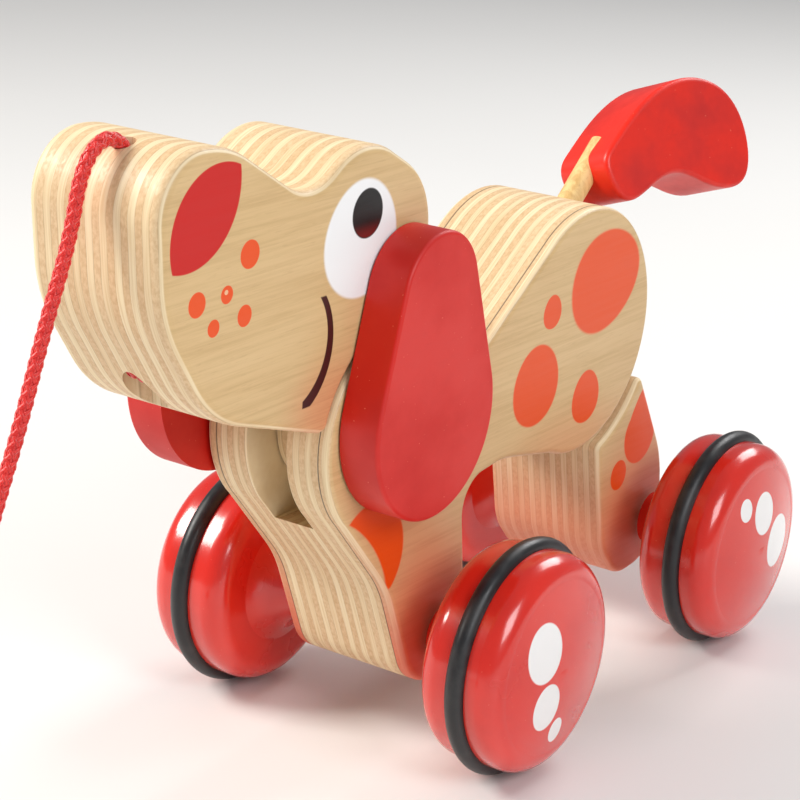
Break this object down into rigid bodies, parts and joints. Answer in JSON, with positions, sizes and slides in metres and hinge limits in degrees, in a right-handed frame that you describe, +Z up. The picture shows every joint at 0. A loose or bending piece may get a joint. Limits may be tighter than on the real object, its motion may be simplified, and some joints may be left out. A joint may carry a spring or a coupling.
{
  "type": "pull-along toy animal",
  "caption": "Pull-along plywood toy dog with a nodding head, swinging ears and rear leg, turning tail, rubber-ringed wheels and a pull cord.",
  "frame": {"origin": "on the floor, under the middle of the toy's length and width, without its cord", "axes": "+X towards the nose, +Y the toy's left, +Z up"},
  "size_m": [0.3336, 0.1, 0.1532],
  "materials": {
    "printed_ply_body": "clear satin lacquer over birch veneer with orange-red printed spots",
    "printed_ply_head": "clear satin lacquer over birch veneer with a printed face",
    "printed_ply_leg": "clear satin lacquer over birch veneer with orange-red printed spots",
    "plain_ply": "sanded and lacquered plywood",
    "dowel_wood": "sanded hardwood dowel",
    "red_lacquered_wood": "satin red lacquer",
    "red_wheel": "gloss red lacquer with white printed ovals",
    "black_rubber": "smooth rubber ring",
    "steel": "drawn steel",
    "red_cord": "braided polyester cord"
  },
  "bodies": {
    "body": {"left_side_plate": "printed_ply_body", "right_side_plate": "printed_ply_body", "left_cheek": "plain_ply", "right_cheek": "plain_ply", "centre_block": "plain_ply", "neck_pin": "dowel_wood", "hip_pin": "dowel_wood", "pull_cord": "red_cord", "cord_coil": "red_cord", "cord_end_knot": "red_cord"},
    "head": {"head_left_board": "printed_ply_head", "head_right_board": "printed_ply_head", "head_core": "plain_ply", "ear_dowel": "dowel_wood", "cord_knot": "red_cord"},
    "left_ear": {"left_ear": "red_lacquered_wood", "left_ear_brad": "steel"},
    "right_ear": {"right_ear": "red_lacquered_wood", "right_ear_brad": "steel"},
    "tail": {"tail": "red_lacquered_wood", "tail_dowel": "dowel_wood"},
    "rear_leg": {"leg_left_board": "printed_ply_leg", "leg_right_board": "printed_ply_leg", "leg_core": "plain_ply"},
    "front_wheels": {"front_axle": "steel", "front_left_wheel": "red_wheel", "front_right_wheel": "red_wheel", "front_left_ring": "black_rubber", "front_right_ring": "black_rubber"},
    "rear_wheels": {"rear_axle": "steel", "rear_left_wheel": "red_wheel", "rear_right_wheel": "red_wheel", "rear_left_ring": "black_rubber", "rear_right_ring": "black_rubber"}
  },
  "joints": [
    {"name": "neck_nod", "type": "hinge", "parent": "body", "child": "head", "pos_m": [0.03494, 0, 0.0795], "axis": [0, -1, 0], "range_deg": [0, 18], "deforming": ["pull_cord"]},
    {"name": "left_ear_swing", "type": "hinge", "parent": "head", "child": "left_ear", "pos_m": [0.03494, 0, 0.112], "axis": [0, -1, 0], "range_deg": [-40, 60]},
    {"name": "right_ear_swing", "type": "hinge", "parent": "head", "child": "right_ear", "pos_m": [0.03494, 0, 0.112], "axis": [0, -1, 0], "range_deg": [-78, 22]},
    {"name": "tail_turn", "type": "hinge", "parent": "body", "child": "tail", "pos_m": [-0.06006, 0, 0.1124], "axis": [-0.766, 0, 0.6428], "range_deg": [-14, 60]},
    {"name": "hip_swing", "type": "hinge", "parent": "body", "child": "rear_leg", "pos_m": [-0.04306, 0, 0.0844], "axis": [0, -1, 0], "range_deg": [0, 15]},
    {"name": "front_axle_spin", "type": "hinge", "parent": "body", "child": "front_wheels", "pos_m": [0.01544, 0, 0.0272], "axis": [0, 1, 0], "continuous": true},
    {"name": "rear_axle_spin", "type": "hinge", "parent": "rear_leg", "child": "rear_wheels", "pos_m": [-0.07956, 0, 0.0272], "axis": [0, 1, 0], "continuous": true}
  ]
}
